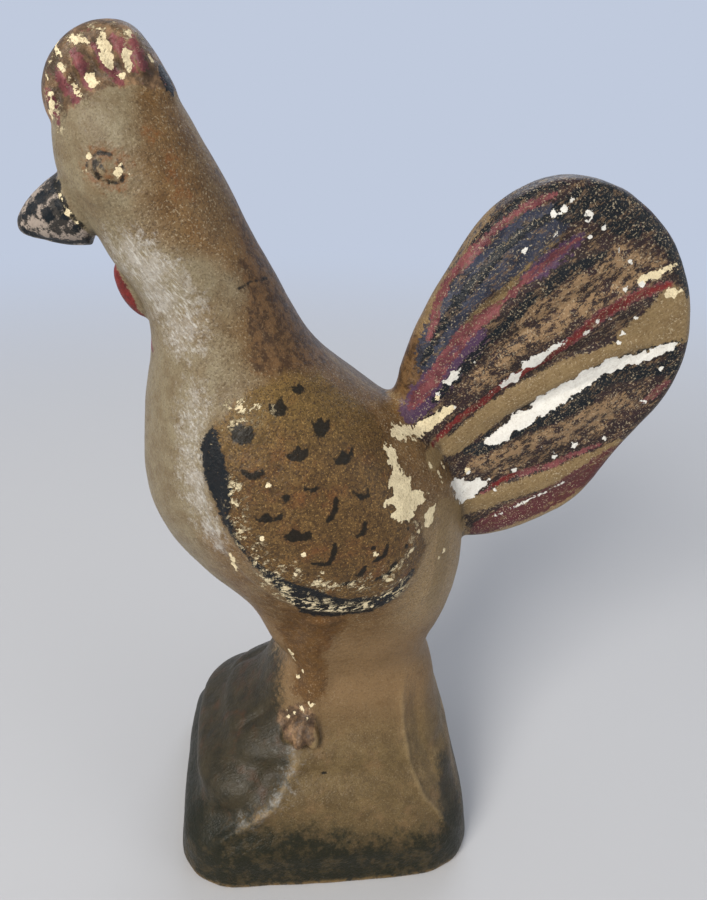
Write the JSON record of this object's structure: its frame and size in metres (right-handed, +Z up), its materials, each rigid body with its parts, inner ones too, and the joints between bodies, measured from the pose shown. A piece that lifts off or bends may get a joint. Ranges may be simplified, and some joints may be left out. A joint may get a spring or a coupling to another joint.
{
  "type": "rooster figurine",
  "caption": "Standing rooster, hollow cast in two halves on a flared square pedestal, with a fluted plume tail, raised wings and a ribbed comb.",
  "frame": {"origin": "middle of the pedestal's flat underside", "axes": "+Z up, -X the way the bird faces, -Y its left side; the two halves meet in the plane Y = 0"},
  "size_m": [0.1078, 0.0532, 0.1519],
  "materials": {
    "painted_plaster": "satin",
    "plaster_slip": "matte",
    "bare_plaster": "matte"
  },
  "bodies": {
    "root": {"left_half": "painted_plaster", "right_half": "painted_plaster", "seam_bead": "plaster_slip", "base_disc": "bare_plaster"}
  },
  "joints": []
}
